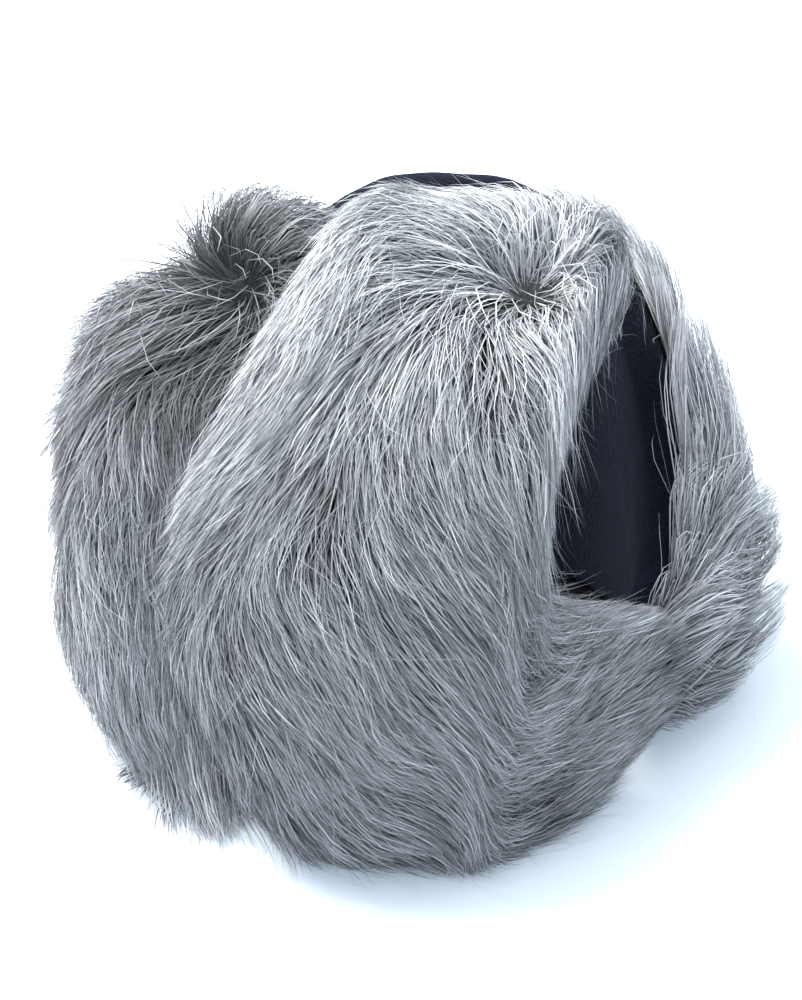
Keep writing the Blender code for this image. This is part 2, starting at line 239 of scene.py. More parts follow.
# How each lobe's fur is dressed. length, over, loft and hem are in metres: the hair's length, how far
# it reaches over the top edge, how high its tufts lift and how far the foot's fringe spreads. standing
# is for hair at a whorl, gather for tufts, far_lift for the lift left past the neck's side, and
# hem_end is the turn where the fringe ends. tone is painted light and shade: it makes a whole lobe's
# hair lighter or darker to make up for how the lamp falls on it. The spot is darker below 0, painted
# shade in a hollow, and pale to the roots above it
LEFT_STYLE = {
    "length": 0.026, "over": 0.004, "loft": 0.002, "far_lift": 1.0,
    "hem": 0.0045, "hem_end": 1.15, "standing": 0.08, "gather": 0.10, "tone": 0.97,
    "spot_turn": 0.50, "spot_way": 0.77, "spot_reach": 0.011, "spot_tone": 0.60,
}
RIGHT_STYLE = {
    "length": 0.026, "over": 0.004, "loft": 0.004, "far_lift": 1.0,
    "hem": 0.019, "hem_end": 0.92, "standing": 0.36, "gather": 0.26, "tone": 1.24,
    "spot_turn": 0.60, "spot_way": 0.73, "spot_reach": 0.019, "spot_tone": -0.64,
}
BAND_STYLE = {
    "length": 0.030, "over": 0.016, "loft": 0.010, "far_lift": 0.35,
    "hem": 0.010, "hem_end": 1.15, "standing": 0.40, "gather": 0.42, "tone": 1.62,
    "spot_turn": 0.50, "spot_way": 0.50, "spot_reach": 0.010, "spot_tone": 0.00,
}

# What the two cups share, and what the band has: height, pile, pile left at the fur's top edge, the
# way up to that edge, how much of its own angle a far section faces, and whether its end is rounded
CUP_FORM = (CUP_HEIGHT, CUP_PILE, CUP_TOP_PILE, 1.0, CONVERGE, True)
BAND_FORM = (BAND_HEIGHT, BAND_PILE, 0.0, BAND_TOP_WAY, 1.0, False)

# Name, sections, neck, end, form, nap, style and number of hairs
LOBES = (
    ("left_cup", LEFT_CUP, LEFT_NECK, LEFT_END, CUP_FORM, LEFT_NAP, LEFT_STYLE, 50000),
    ("right_cup", RIGHT_CUP, RIGHT_NECK, RIGHT_END, CUP_FORM, RIGHT_NAP, RIGHT_STYLE, 38000),
    ("band", BACK_BAND, LEFT_NECK, RIGHT_NECK, BAND_FORM, BAND_NAP, BAND_STYLE, 38000),
)
PIECES_PER_LOBE = 2
SEED = 5

# The skin that hair follows: its grid along and up, how far it runs on past its edges, its height
# over the lobe's, how softly the nap's rows blend, and how hair thickens where it stands
SKIN_STEPS = (161, 121)
FINE_STEPS = 301
MARGIN = 0.25
SKIN_OVER_LOBE = 1.4
NAP_BLUR = 1.2e-5
NAP_POWER = 1.6
LIE_GAIN = 2.0
LEAST_LIE = 0.35
WHORL_DENSITY = 4.0
UNDERCOAT_STEPS = (81, 41)
UNDERCOAT_DEPTH = 0.45
UNDERCOAT_ROUND_FROM = 0.93

# Each hair, in metres, degrees and shares; a swerve is its turn away from the nap
HAIR_WIDTH = 0.00023
HAIR_SHARES = (0.0, 0.30, 0.58, 0.82, 1.0)
HAIR_WIDTHS = (0.80, 1.0, 0.90, 0.60, 0.0)
HAIR_ROLL = 0.6
HAIR_SWERVE = 6.0
HAIR_LENGTH = (0.80, 1.12)
HAIR_LIFT = 0.0010
HAIR_TONE = 0.12
HAIR_STOUTNESS = (0.75, 1.2)
ROOT_SHARE = 0.35
TIP_SHARE = (0.78, 1.06)
RISE_POWER = 2.2
LIFT_POWER = 1.5
SHORTEST = 0.35
STANDING_CUT = 1.2
MOST_CUT = 0.7

# Locks of hair and tufts of locks: how many hairs each has, and how much each differs
HAIRS_PER_LOCK = 6
LOCK_SPREAD = 0.0013
LOCK_SWERVE = 7.0
LOCK_LENGTH = (0.85, 1.12)
LOCK_LIFT = 0.35
LOCK_TONE = 0.16
LOCK_PULL = 0.45
LOCK_POWER = 1.3
HAIRS_PER_TUFT = 170
FEWEST_TUFTS = 8
TUFT_SWERVE = 9.0
TUFT_LENGTH = (0.88, 1.12)
TUFT_TONE = 0.08
TUFT_HEM = 1.6

# Stray hairs: how many, and how they differ from the rest
STRAY_PART = 0.05
STRAY_SWERVE = 28.0
STRAY_LIFT = 0.009
STRAY_LENGTH = 1.20
STRAY_WIDTH = 0.45
STRAY_PULL = 0.1

# How far hair reaches past the skin's edges, and the fringe at the foot
SLACK = (0.4, 1.6)
OVER_FOOT = 0.014
OVER_SEAM = 0.013
FAR_TURNS = (0.35, 0.50)
FLOOR_CLEAR = 0.0004
FLOOR_LIFT = 0.002
FLOOR_SPREAD = 0.5
HEM_WAY = 0.34
HEM_TURN = 0.4
HEM_FADE = 0.15
HEM_DROP = 0.6
HEM_POWER = 1.3
HEM_VARIES = (0.7, 1.2)

# Shades: dark and pale hairs; painted shade where the pile is thin, as at the necks; painted light and
# shade at heights up the lobe; and how a hair's colour runs to its tip
DARK_BELOW = 0.24
DARK_TONE = 0.48
PALE_ABOVE = 0.84
PALE_TONE = 1.45
THIN_PILE = (0.35, 0.80)
# Painted shade: hair is darker where the pile is thin, as at the shaded necks
THIN_PILE_SHADE = (0.70, 1.0)
THIN_DEPTH = (0.45, 1.0)
# Painted light and shade by height: hair lighter near the top, where the lamp falls, and darker part way
# up
HEIGHT_WAYS = (0.30, 0.60, 0.82)
HEIGHT_LIGHT_AND_SHADE = (1.0, 0.86, 1.12)
TONE_LIMITS = (0.25, 1.8)
MIDDLE_AT = 0.45

# Colours, in linear light
ROOT_COLOUR = (0.046, 0.044, 0.045)
MIDDLE_COLOUR = (0.270, 0.276, 0.282)
TIP_COLOUR = (0.840, 0.856, 0.870)
UNDERCOAT_COLOUR = (0.030, 0.030, 0.032)
FLEECE_COLOUR = (0.0016, 0.0018, 0.0064)
FLEECE_LIGHT_COLOUR = (0.0062, 0.0074, 0.0205)
FLOOR_COLOUR = (0.97, 0.97, 0.97)
BOUNCE_COLOUR = (0.34, 0.36, 0.40)
GLOW_COLOUR = (0.225, 0.290, 0.370)
SHEEN_COLOUR = (0.55, 0.68, 1.0)
SKY_COLOUR = (0.80, 0.90, 1.0)
KEY_COLOUR = (1.0, 0.99, 0.98)

# The studio and the camera, in metres, degrees, watts and millimetres
FLOOR_SIZE = 8.0
SKY_STRENGTH = (0.08, 1.80)
KEY_PLACE = (-0.60, -0.05, 1.05)
KEY_SIZE = 0.90
KEY_POWER = 22.0
AIM_HEIGHT = 0.050
CAMERA_TURN = 32.0
CAMERA_RISE = 30.0
CAMERA_DISTANCE = 0.45
CAMERA_SIDE = -0.003
CAMERA_LENS = 52.92
SENSOR_HEIGHT = 24.0
NEAREST_SEEN = 0.01


def read_table(table, columns, turns):
    """The smooth curve through a table's rows, one array for each column."""
    rows = np.array(table, float)
    places = rows[:, 0]
    slopes = np.gradient(rows, places, axis=0)
    i = np.clip(np.searchsorted(places, turns) - 1, 0, len(places) - 2)
    width = (places[i + 1] - places[i])[..., None]
    t = (turns - places[i])[..., None] / width
    start = (2 * t**3 - 3 * t**2 + 1) * rows[i] + (t**3 - 2 * t**2 + t) * width * slopes[i]
    finish = (3 * t**2 - 2 * t**3) * rows[i + 1] + (t**3 - t**2) * width * slopes[i + 1]
    values = start + finish
    return {name: values[..., k] for k, name in enumerate(columns)}


def unit(vectors):
    """The vectors at length 1."""
    return vectors / np.maximum(np.linalg.norm(vectors, axis=-1, keepdims=True), 1e-12)


class Lobe:
    """A lobe's surfaces, for whole arrays of places at once."""

    def __init__(self, name, table, neck, end, form, nap, style, hairs):
        self.name = name
        self.table = table
        self.neck = math.radians(neck)
        self.end = math.radians(end)
        self.height, self.full_pile, self.top_pile, self.top_way, self.converge, self.rounded = form
        self.nap = nap
        self.style = style
        self.hairs = hairs
        self.span = abs(self.end - self.neck) * HEAD_RADIUS
        self.skin_height = SKIN_OVER_LOBE * self.height

    def rounding(self, turns, start):
        """1 up to the start of the rounded far end, then down to 0 as a circle's square does."""
        closing = np.clip((turns - start) / (1.0 - start), 0.0, 1.0)
        return 1.0 - closing**2 * self.rounded

    def sections(self, turns):
        """The table's values at each turn, with the angle, height and directions of the sections."""
        row = read_table(self.table, COLUMNS, turns)
        angle = self.neck + (self.end - self.neck) * turns
        middle = (self.neck + self.end) / 2
        share = self.converge + (1.0 - self.converge) * (1.0 - turns) ** 3
        facing = middle + (angle - middle) * share
        side = math.copysign(1.0, self.neck - self.end)
        level = np.zeros_like(angle)
        row["angle"] = angle
        row["inwards"] = np.stack((-np.cos(facing), -np.sin(facing), level), -1)
        row["to_neck"] = np.stack((-np.sin(angle), np.cos(angle), level), -1) * side
        row["tall"] = row["height"] * self.height
        return row

    def point(self, row, up, out):
        """Where a section's up and out are in space: it stands on the foot and leans as it rises."""
        flare = -np.radians(row["flare"])
        bend = (np.radians(row["lean"]) - flare) / row["tall"]
        tilt = flare + bend * up
        inwards = (np.cos(flare) - np.cos(tilt)) / bend - out * np.cos(tilt)
        rise = (np.sin(tilt) - np.sin(flare)) / bend + out * np.sin(tilt)
        radius = row["radius"] * HEAD_RADIUS
        ground = row["foot"] * FOOT_HEIGHT
        foot = np.stack((np.cos(row["angle"]) * radius, np.sin(row["angle"]) * radius, ground), -1)
        shift = row["sway"] * row["tall"] * np.maximum(up / row["tall"], 0.0) ** 2
        place = foot + row["inwards"] * inwards[..., None] + row["to_neck"] * shift[..., None]
        place[..., 2] += rise
        return place

    def pile(self, row, way):
        """The pile's depth, less under the foot and towards the top edge."""
        rise = np.minimum(way / UNDER_WAY, 1.0)
        fall = np.clip((self.top_way - way) / TOP_FALL_WAY, 0.0, 1.0)
        full = row["pile"] * self.full_pile
        top = EDGE_PILE + (full - EDGE_PILE) * self.top_pile
        below = np.minimum(UNDER_PILE, full)
        under = below + (full - below) * rise
        return np.minimum(under, top + (full - top) * np.sin(fall * math.pi / 2))

    def outside(self, row, way, depth):
        """The surface at a depth outside the pad: round its foot, up its back and over its top."""
        half = PAD_THICKNESS / 2
        quarter = math.pi * half / 2
        straight = row["tall"] - 2 * half
        length = way * (straight + 2 * quarter)
        reach = half + depth
        lower = np.minimum(length, quarter) / half
        upper = np.maximum(length - quarter - straight, 0.0) / half
        middle = np.clip(length - quarter, 0.0, straight)
        low_turn = length < quarter
        up = half + middle - reach * np.cos(lower) * low_turn + reach * np.sin(upper)
        out = half + reach * np.where(low_turn, np.sin(lower), np.cos(upper))
        return self.point(row, up, out)


def on_grid(row, steps):
    """A section row with a second axis, to go with a grid of ways."""
    grid = {}
    for name, values in row.items():
        wide = values[:, None]
        shape = (values.shape[0], steps) + values.shape[1:]
        grid[name] = np.broadcast_to(wide, shape)
    return grid


class Skin:
    """A lobe's skin on an even grid that runs on straight past its edges, for hair to follow."""

    def __init__(self, lobe, shift):
        self.lobe = lobe
        self.edges = [round(MARGIN * (steps - 1)) for steps in SKIN_STEPS]
        self.turn = np.linspace(0.0, 1.0, SKIN_STEPS[0])
        self.even = np.linspace(0.0, 1.0, SKIN_STEPS[1])
        row = lobe.sections(self.turn)
        way = self.even_ways(row)
        grid = on_grid(row, SKIN_STEPS[1])
        seat = lobe.outside(grid, way, np.full_like(way, GAP)) + shift
        skin = lobe.outside(grid, way, GAP + lobe.pile(grid, way)) + shift
        along = np.gradient(skin, self.turn, axis=0)
        up = np.gradient(skin, self.even, axis=1)
        out = unit(np.cross(along, up))
        out *= np.sign(np.median(((skin - seat) * out).sum(2)))
        combed = self.comb()
        strength = np.linalg.norm(combed, axis=2, keepdims=True)
        lie = np.clip(strength * LIE_GAIN, LEAST_LIE, 1.0)
        area = np.linalg.norm(np.cross(along, up), axis=2)
        self.density = area * (1.0 + WHORL_DENSITY * (1.0 - lie[..., 0]))
        self.seat = self.run_on(seat)
        self.skin = self.run_on(skin)
        self.along = self.hold(along)
        self.up = self.hold(up)
        self.out = self.hold(out)
        self.share = self.hold(np.broadcast_to(row["pile"][:, None, None], (*SKIN_STEPS, 1)))
        self.nap = self.hold(unit(combed))
        self.lie = self.hold(lie)

    def even_ways(self, row):
        """The ways up each section that lie at even distances along the pile's surface."""
        fine = np.linspace(0.0, self.lobe.top_way, FINE_STEPS)
        grid = on_grid(row, FINE_STEPS)
        ways = np.broadcast_to(fine, (len(self.turn), FINE_STEPS))
        line = self.lobe.outside(grid, ways, GAP + self.lobe.pile(grid, ways))
        runs = np.linalg.norm(np.diff(line, axis=1), axis=2)
        total = np.concatenate((np.zeros((len(self.turn), 1)), np.cumsum(runs, axis=1)), 1)
        return np.array([np.interp(self.even * far[-1], far, fine) for far in total])

    def comb(self):
        """The nap's direction over the grid, weighted by how near each of the table's rows is."""
        rows = np.array(self.lobe.nap, float)
        wide = (self.turn[:, None, None] - rows[:, 0]) * self.lobe.span
        high = (self.even[None, :, None] - rows[:, 1]) * self.lobe.skin_height
        weight = 1.0 / (wide**2 + high**2 + NAP_BLUR) ** NAP_POWER
        weight /= weight.sum(2, keepdims=True)
        return (weight[..., None] * unit(rows[:, 2:4])).sum(2)

    def run_on(self, field):
        """The field carried straight on past its edges."""
        for axis, count in enumerate(self.edges):
            first = np.take(field, [0], axis)
            last = np.take(field, [-1], axis)
            before = (first - np.take(field, [3], axis)) / 3
            after = (last - np.take(field, [-4], axis)) / 3
            shape = [1, 1, 1]
            shape[axis] = count
            step = np.arange(1, count + 1).reshape(shape)
            back = np.flip(step, axis)
            field = np.concatenate((first + before * back, field, last + after * step), axis)
        return field

    def hold(self, field):
        """The field with its edge values kept past the edges."""
        pads = [(self.edges[0],) * 2, (self.edges[1],) * 2, (0, 0)]
        return np.pad(field, pads, mode="edge")

    def at(self, field, turn, even):
        """The field between the grid's points."""
        span = 1.0 + 2 * MARGIN
        x = np.clip((turn + MARGIN) / span, 0.0, 1.0) * (field.shape[0] - 1)
        y = np.clip((even + MARGIN) / span, 0.0, 1.0) * (field.shape[1] - 1)
        i = np.minimum(x.astype(int), field.shape[0] - 2)
        j = np.minimum(y.astype(int), field.shape[1] - 2)
        s = (x - i)[..., None]
        t = (y - j)[..., None]
        near = field[i, j] * (1 - t) + field[i, j + 1] * t
        far = field[i + 1, j] * (1 - t) + field[i + 1, j + 1] * t
        return near * (1 - s) + far * s

    def scatter(self, count, rng):
        """Places spread over the skin's area, closer together where hair stands."""
        weight = self.density.ravel() / self.density.sum()
        picked = rng.choice(len(weight), size=count, p=weight)
        i, j = np.divmod(picked, self.density.shape[1])
        turn = self.turn[i] + rng.uniform(-0.5, 0.5, count) * (self.turn[1] - self.turn[0])
        even = self.even[j] + rng.uniform(-0.5, 0.5, count) * (self.even[1] - self.even[0])
        return np.clip(turn, 0.0, 1.0), np.clip(even, 0.0, 1.0)

    def step(self, turn, even, side, rise):
        """The place a given distance along the lobe and up it."""
        along = self.at(self.along, turn, even)
        up = self.at(self.up, turn, even)
        long = np.maximum(np.linalg.norm(along, axis=-1), 1e-6)
        lean = (up * along).sum(-1) / long
        tall = np.sqrt(np.maximum((up**2).sum(-1) - lean**2, 1e-8))
        more_even = rise / tall
        more_turn = (side - more_even * lean) / long
        return turn + more_turn, even + more_even

    def follow(self, turn, even, length, swerve, slack):
        """The places along each hair, which follows the nap with a turn of its own."""
        style = self.lobe.style
        cut = min(STANDING_CUT * style["standing"], MOST_CUT)
        length = length * (1.0 - (1.0 - self.lie_at(turn, even)) * cut)
        turns = [turn]
        evens = [even]
        for before, after in zip(HAIR_SHARES, HAIR_SHARES[1:]):
            nap = self.at(self.nap, turn, even)
            side = nap[..., 0] * np.cos(swerve) - nap[..., 1] * np.sin(swerve)
            rise = nap[..., 0] * np.sin(swerve) + nap[..., 1] * np.cos(swerve)
            run = length * (after - before)
            turn, even = self.step(turn, even, side * run, rise * run)
            turns.append(turn)
            evens.append(even)
        turns = np.stack(turns, 1)
        evens = np.stack(evens, 1)
        slack = slack[:, None]
        evens = hold_back(evens, -1.0, 1.0, slack * style["over"] / self.lobe.skin_height)
        evens = hold_back(evens, 0.0, 2.0, slack * OVER_FOOT / self.lobe.skin_height)
        turns = hold_back(turns, 0.0, 1.0, slack * OVER_SEAM / self.lobe.span)
        return turns, evens

    def lie_at(self, turn, even):
        """How far the hair lies down, less near a whorl's middle, where it stands."""
        return self.at(self.lie, turn, even)[..., 0]

    def pile_at(self, turn, even):
        """The pile's depth there, as a share of the lobe's full pile."""
        return self.at(self.share, turn, even)[..., 0]

    def place(self, turns, evens, lift, tip_share):
        """The hair's points: up from its root inside the pile and out along the skin."""
        share = np.array(HAIR_SHARES)
        rise = 1.0 - (1.0 - share) ** RISE_POWER
        depth = ROOT_SHARE + (tip_share[:, None] - ROOT_SHARE) * rise
        seat = self.at(self.seat, turns, evens)
        skin = self.at(self.skin, turns, evens)
        out = self.at(self.out, turns, evens)
        raised = seat + (skin - seat) * depth[..., None]
        return raised + out * (lift[:, None] * share**LIFT_POWER)[..., None]

    def strands(self, places, traits, tips, rng):
        """Lines of hair from their roots to their tips, one for each place."""
        style = self.lobe.style
        pile = np.clip(self.pile_at(*places), 0, 1)
        stood = 1.0 - self.lie_at(*places)
        slack = rng.uniform(*SLACK, len(pile))
        reach = style["length"] * (SHORTEST + (1.0 - SHORTEST) * pile) * traits["long"]
        path = self.follow(*places, reach, traits["swerve"], slack)
        far = np.interp(places[0], FAR_TURNS, (1.0, style["far_lift"]))
        lift = traits["lift"] * pile**2 * far + stood * style["length"] * style["standing"] * pile
        return self.place(*path, lift, tips)


def hold_back(values, low, high, reach):
    """The values, with what runs past the limits eased off within a reach."""
    over = np.maximum(values - high, 0.0)
    under = np.maximum(low - values, 0.0)
    eased = np.clip(values, low, high)
    return eased + reach * np.tanh(over / reach) - reach * np.tanh(under / reach)


def nearest(points, centres, at_once=2000):
    """The nearest centre to each point."""
    found = []
    for first in range(0, len(points), at_once):
        part = points[first:first + at_once]
        found.append(((part[:, None] - centres[None]) ** 2).sum(2).argmin(1))
    return np.concatenate(found)


def vary_tufts(count, loft, rng):
    """Each tuft's turn from the nap, its lift, its length, its shade and its part in the fringe."""
    return {
        "swerve": np.radians(rng.normal(0, TUFT_SWERVE, count)),
        "lift": loft * rng.uniform(0.0, 1.0, count) ** 2,
        "long": rng.uniform(*TUFT_LENGTH, count),
        "tone": rng.normal(0, TUFT_TONE, count),
        "hem": TUFT_HEM * rng.uniform(0, 1, count) ** 1.5,
    }


def vary_locks(tuft, of_tuft, loft, rng):
    """Each lock's own turn, lift, length and shade, on top of its tuft's."""
    count = len(of_tuft)
    return {
        "swerve": tuft["swerve"][of_tuft] + np.radians(rng.normal(0, LOCK_SWERVE, count)),
        "lift": tuft["lift"][of_tuft] + loft * LOCK_LIFT * rng.uniform(0, 1, count) ** 2,
        "long": tuft["long"][of_tuft] * rng.uniform(*LOCK_LENGTH, count),
        "tone": tuft["tone"][of_tuft] + rng.normal(0, LOCK_TONE, count),
    }


def vary_hairs(lock, of_lock, rng):
    """Each hair's own turn, lift and length, on top of its lock's, and which hairs are strays."""
    count = len(of_lock)
    hair = {
        "swerve": lock["swerve"][of_lock] + np.radians(rng.normal(0, HAIR_SWERVE, count)),
        "lift": lock["lift"][of_lock] + HAIR_LIFT * rng.normal(0, 1, count),
        "long": lock["long"][of_lock] * rng.uniform(*HAIR_LENGTH, count),
        "tip": rng.uniform(*TIP_SHARE, count),
    }
    stray = rng.uniform(0, 1, count) < STRAY_PART
    strays = stray.sum()
    hair["swerve"][stray] += np.radians(rng.normal(0, STRAY_SWERVE, strays))
    hair["lift"][stray] += STRAY_LIFT * rng.uniform(0, 1, strays) ** 2
    hair["long"][stray] *= STRAY_LENGTH
    hair["stray"] = stray
    return hair


def lay_on_floor(skin, points, turn, even, out, hem, rng):
    """The points with the foot's fringe drawn down and outwards, and none of them in the floor."""
    style = skin.lobe.style
    count = len(points)
    rest = FLOOR_CLEAR + FLOOR_LIFT * rng.uniform(0, 1, (count, 1)) ** 2
    low = np.clip(1.0 - even / HEM_WAY, 0.0, 1.0) * np.clip(turn / HEM_TURN, 0.0, 1.0)
    low *= np.clip((style["hem_end"] - turn) / HEM_FADE, 0.0, 1.0)
    fringe = style["hem"] * low * hem * rng.uniform(*HEM_VARIES, count)
    fringe = fringe[:, None] * np.array(HAIR_SHARES) ** HEM_POWER
    points[..., 2] -= HEM_DROP * fringe
    sunk = np.maximum(rest - points[..., 2], 0.0)
    points[..., :2] += unit(out[:, None, :2]) * (sunk * FLOOR_SPREAD + fringe)[..., None]
    points[..., 2] += sunk
    return points


def shade(skin, turn, even, base, rng):
    """Each hair's shade, with painted light and shade laid on by lobe, height, thin pile and a hollow's
    spot, and how far the hair is pale down to its root.
    """
    lobe = skin.lobe
    style = lobe.style
    kind = rng.uniform(0, 1, len(turn))
    tone = 1.0 + base + rng.normal(0, HAIR_TONE, len(turn))
    tone = np.where(kind < DARK_BELOW, tone * DARK_TONE, tone)
    tone = np.where(kind > PALE_ABOVE, tone * PALE_TONE, tone)
    # Painted shade: darker hair where the pile is thin, as at the necks
    tone *= np.interp(skin.pile_at(turn, even), THIN_PILE, THIN_PILE_SHADE)
    # Painted light and shade: each lobe's tone, set against how the lamp falls on it, and by height,
    # lighter near the top and darker part way up
    tone *= style["tone"] * np.interp(even, HEIGHT_WAYS, HEIGHT_LIGHT_AND_SHADE)
    # The spot: below 0 it is painted shade, darkening the hair in a hollow; above 0 it makes the hair
    # pale down to its roots
    wide = (turn - style["spot_turn"]) * lobe.span
    high = (even - style["spot_way"]) * lobe.skin_height
    spot = style["spot_tone"] * np.exp(-((np.hypot(wide, high) / style["spot_reach"]) ** 2))
    return tone * (1.0 + np.minimum(spot, 0.0)), np.maximum(spot, 0.0)


def grow(skin, count, rng):
    """Hair over a skin in locks and tufts: its points, outward directions, shades and widths."""
    style = skin.lobe.style
    tufts = max(count // HAIRS_PER_TUFT, FEWEST_TUFTS)
    locks = count // HAIRS_PER_LOCK
    tuft_at = skin.scatter(tufts, rng)
    lock_at = skin.scatter(locks, rng)
    of_tuft = nearest(skin.at(skin.skin, *lock_at), skin.at(skin.skin, *tuft_at))
    of_lock = np.arange(count) % locks
    hair_tuft = of_tuft[of_lock]
    tuft = vary_tufts(tufts, style["loft"], rng)
    lock = vary_locks(tuft, of_tuft, style["loft"], rng)

    spread = rng.normal(0, LOCK_SPREAD, (2, count))
    turn, even = skin.step(lock_at[0][of_lock], lock_at[1][of_lock], spread[0], spread[1])
    turn = np.clip(turn, 0.0, 1.0)
    even = np.clip(even, 0.0, 1.0)
    hair = vary_hairs(lock, of_lock, rng)
    tips = hair["tip"] * np.interp(skin.pile_at(turn, even), THIN_PILE, THIN_DEPTH)
    loose = 1.0 - skin.lie_at(turn, even)
    hair["swerve"] += loose * rng.normal(0, 1.0, count)

    points = skin.strands((turn, even), hair, tips, rng)
    lock_line = skin.strands(lock_at, lock, np.ones(locks), rng)
    tuft_line = skin.strands(tuft_at, tuft, np.ones(tufts), rng)
    share = np.array(HAIR_SHARES)[:, None]
    lying = np.where(hair["stray"], STRAY_PULL, 1.0 - loose)[:, None, None]
    points += (lock_line[of_lock] - points) * (LOCK_PULL * share**LOCK_POWER * lying)
    lying = np.where(hair["stray"], 0.0, 1.0 - loose)[:, None, None]
    points += (tuft_line[hair_tuft] - points) * (style["gather"] * share**2 * lying)

    out = skin.at(skin.out, turn, even)
    points = lay_on_floor(skin, points, turn, even, out, tuft["hem"][hair_tuft], rng)
    tone, pale = shade(skin, turn, even, lock["tone"][of_lock], rng)
    width = np.where(hair["stray"], STRAY_WIDTH, rng.uniform(*HAIR_STOUTNESS, count))
    return {"points": points, "out": out, "tone": tone, "width": width, "pale": pale}


def build_mesh(name, points, corners, sizes, colours, material):
    """A mesh from arrays: its points, its faces' corners and how many corners each face has."""
    mesh = bpy.data.meshes.new(name)
    mesh.vertices.add(len(points))
    mesh.vertices.foreach_set("co", np.ascontiguousarray(points, np.float32).ravel())
    mesh.loops.add(len(corners))
    mesh.loops.foreach_set("vertex_index", np.ascontiguousarray(corners, np.int32))
    mesh.polygons.add(len(sizes))
    starts = np.concatenate(([0], np.cumsum(sizes)[:-1]))
    mesh.polygons.foreach_set("loop_start", np.ascontiguousarray(starts, np.int32))
    if colours is not None:
        layer = mesh.color_attributes.new("tone", "FLOAT_COLOR", "POINT")
        full = np.concatenate((colours, np.ones((len(colours), 1))), 1)
        layer.data.foreach_set("color", np.ascontiguousarray(full, np.float32).ravel())
    mesh.update(calc_edges=True)
    mesh.validate()
    mesh.shade_smooth()
    mesh.materials.append(material)
    item = bpy.data.objects.new(name, mesh)
    bpy.context.scene.collection.objects.link(item)
    return item


def ribbon_faces(count, steps):
    """The corners and sizes of the ribbons' faces: four-cornered, with one triangle at each tip."""
    pattern = []
    for k in range(steps - 2):
        pattern += [2 * k, 2 * k + 1, 2 * k + 3, 2 * k + 2]
    last = 2 * (steps - 2)
    pattern += [last, last + 1, last + 2]
    corners = np.arange(count)[:, None] * (2 * steps - 1) + np.array(pattern)
    return corners.ravel(), np.tile([4] * (steps - 2) + [3], count)


def hair_colours(tone, pale):
    """The colour at each point of each ribbon, from its dark root to its pale tip."""
    share = np.array(HAIR_SHARES)
    shares = np.concatenate((np.repeat(share[:-1], 2), share[-1:]))
    mix = np.interp(shares, (0.0, MIDDLE_AT, 1.0), (0.0, 1.0, 2.0))[None, :, None]
    mix = mix + (2.0 - mix) * pale[:, None, None]
    low = np.array(ROOT_COLOUR) * (1 - mix) + np.array(MIDDLE_COLOUR) * mix
    high = np.array(MIDDLE_COLOUR) * (2 - mix) + np.array(TIP_COLOUR) * (mix - 1)
    ramp = np.where(mix < 1, low, high)
    return (ramp * np.clip(tone, *TONE_LIMITS)[:, None, None]).reshape(-1, 3)


def make_hair(name, hair, material, rng):
    """Each hair as a tapered ribbon, rolled a little at random about its own line."""
    points = hair["points"]
    count, steps = points.shape[:2]
    line = unit(np.gradient(points, axis=1))
    across = unit(np.cross(line, hair["out"][:, None]))
    over = np.cross(across, line)
    roll = rng.normal(0, HAIR_ROLL, (count, 1, 1))
    side = across * np.cos(roll) + over * np.sin(roll)
    half = HAIR_WIDTH / 2 * hair["width"][:, None] * np.array(HAIR_WIDTHS)
    left = points - side * half[..., None]
    right = points + side * half[..., None]
    verts = np.stack((left[:, :-1], right[:, :-1]), 2).reshape(count, -1, 3)
    verts = np.concatenate((verts, points[:, -1:]), 1).reshape(-1, 3)
    corners, sizes = ribbon_faces(count, steps)
    colours = hair_colours(hair["tone"], hair["pale"])
    return build_mesh(name, verts, corners, sizes, colours, material)


def ring_faces(rows, columns):
    """The four-cornered faces between closed rings of points, one ring after another."""
    i, j = np.meshgrid(np.arange(rows - 1), np.arange(columns), indexing="ij")
    k = (j + 1) % columns
    first = i * columns
    after = first + columns
    return np.stack((first + j, first + k, after + k, after + j), -1).reshape(-1, 4)


def make_tube(name, loops, material):
    """A closed body through closed loops, its ends closed by one point each."""
    rows, columns = loops.shape[:2]
    middles = np.stack((loops[0].mean(0), loops[-1].mean(0)))
    points = np.concatenate((loops.reshape(-1, 3), middles))
    quads = ring_faces(rows, columns)
    ring = np.arange(columns)
    after = (ring + 1) % columns
    first = np.stack((after, ring, np.full(columns, rows * columns)), 1)
    top = (rows - 1) * columns
    final = np.stack((top + ring, top + after, np.full(columns, rows * columns + 1)), 1)
    corners = np.concatenate((quads.ravel(), first.ravel(), final.ravel()))
    sizes = np.concatenate((np.full(len(quads), 4), np.full(2 * columns, 3)))
    return build_mesh(name, points, corners, sizes, None, material)


def make_undercoat(skin, material):
    """The dense short fur at the hairs' roots, which shuts off the view between them."""
    turn = np.linspace(0, 1, UNDERCOAT_STEPS[0])
    even = np.linspace(0, 1, UNDERCOAT_STEPS[1])
    places = np.meshgrid(turn, even, indexing="ij")
    rounding = np.maximum(skin.lobe.rounding(turn, UNDERCOAT_ROUND_FROM), 0.0)
    depth = (UNDERCOAT_DEPTH * np.sqrt(rounding))[:, None, None]
    seat = skin.at(skin.seat, *places)
    over = seat + (skin.at(skin.skin, *places) - seat) * depth
    loops = np.concatenate((over, seat[:, ::-1]), 1)
    loops[..., 2] = np.maximum(loops[..., 2], FLOOR_CLEAR)
    return make_tube(skin.lobe.name + "_undercoat", loops, material)


